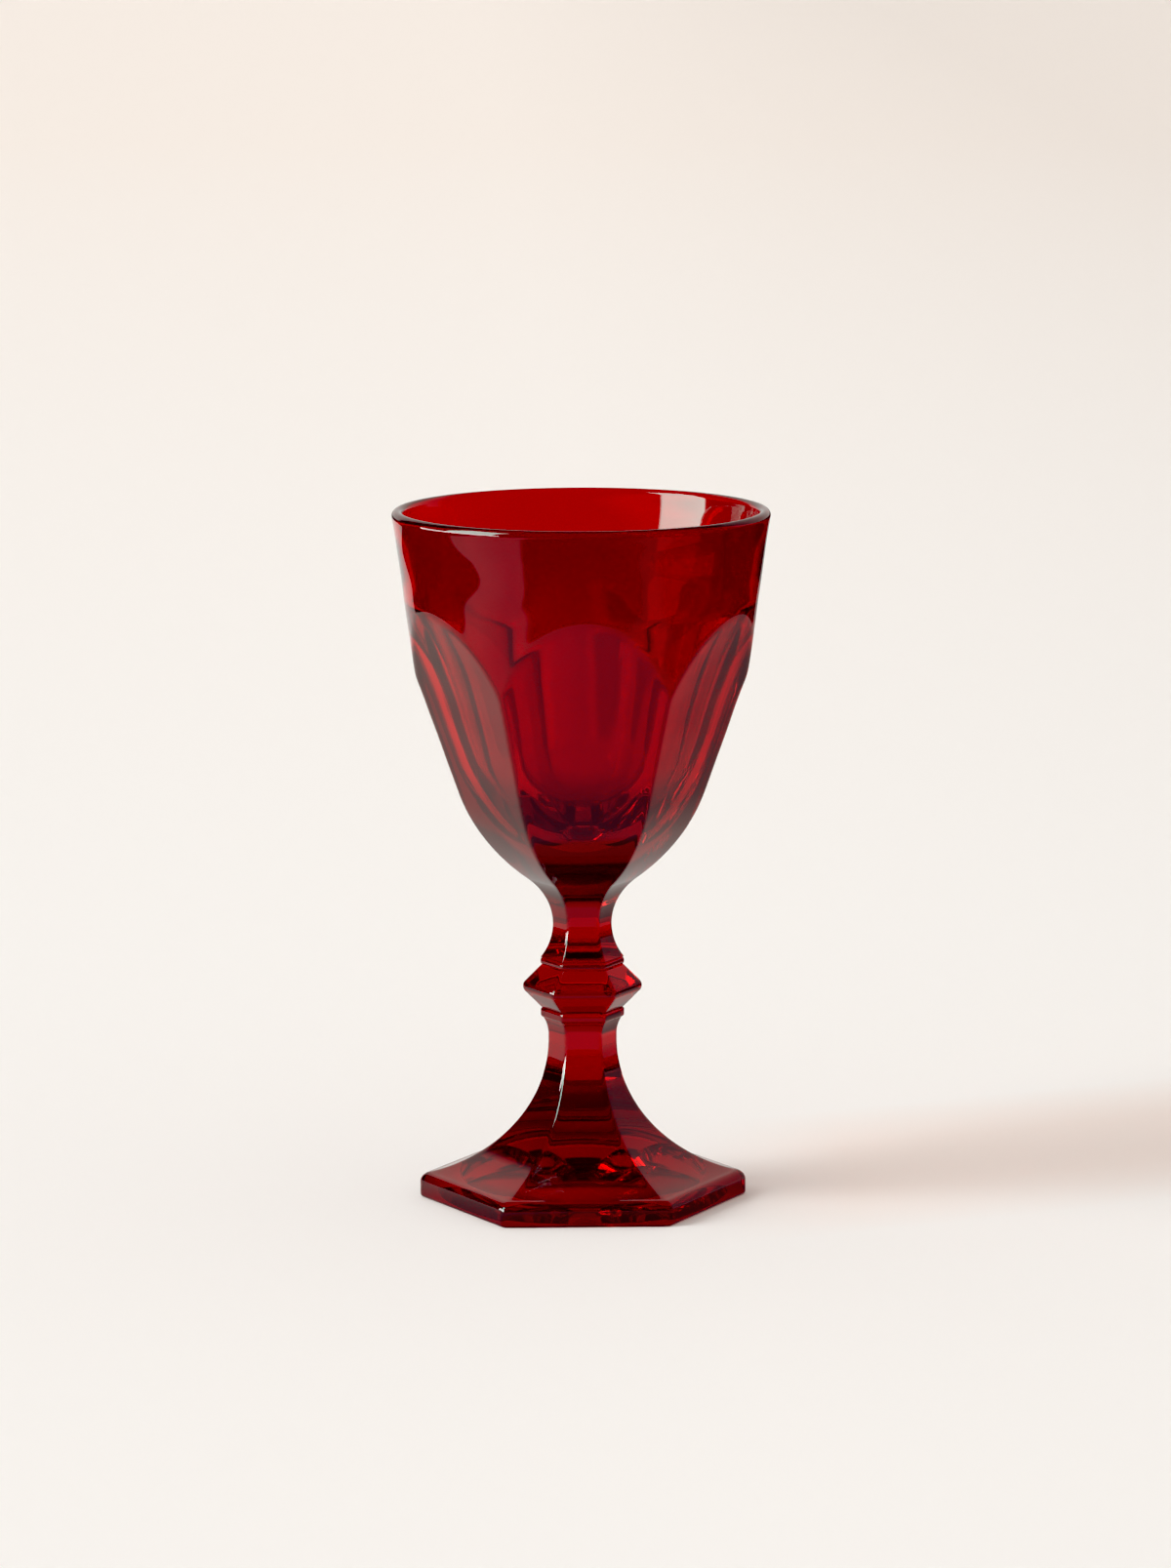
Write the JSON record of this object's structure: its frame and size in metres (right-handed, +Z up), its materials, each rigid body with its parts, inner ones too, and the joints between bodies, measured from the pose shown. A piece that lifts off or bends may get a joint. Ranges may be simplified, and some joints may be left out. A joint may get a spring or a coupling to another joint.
{
  "type": "stemmed shot glass",
  "caption": "Small stemmed drinking glass in clear ruby red: round bowl with arched flat panels on a hexagonal stem with a ringed knop and a spread hexagonal foot.",
  "frame": {"origin": "centre of the underside of the foot, in the plane of the table", "axes": "+Z up the axis of the glass; two corners of the hexagonal stem and foot lie on X; flat panels face -Y and +Y"},
  "size_m": [0.054, 0.054, 0.1],
  "materials": {
    "ruby_glass": "clear, fire-polished"
  },
  "bodies": {
    "root": {"foot": "ruby_glass", "stem": "ruby_glass", "lower_collar": "ruby_glass", "knop": "ruby_glass", "upper_collar": "ruby_glass", "neck": "ruby_glass", "bowl": "ruby_glass"}
  },
  "joints": []
}
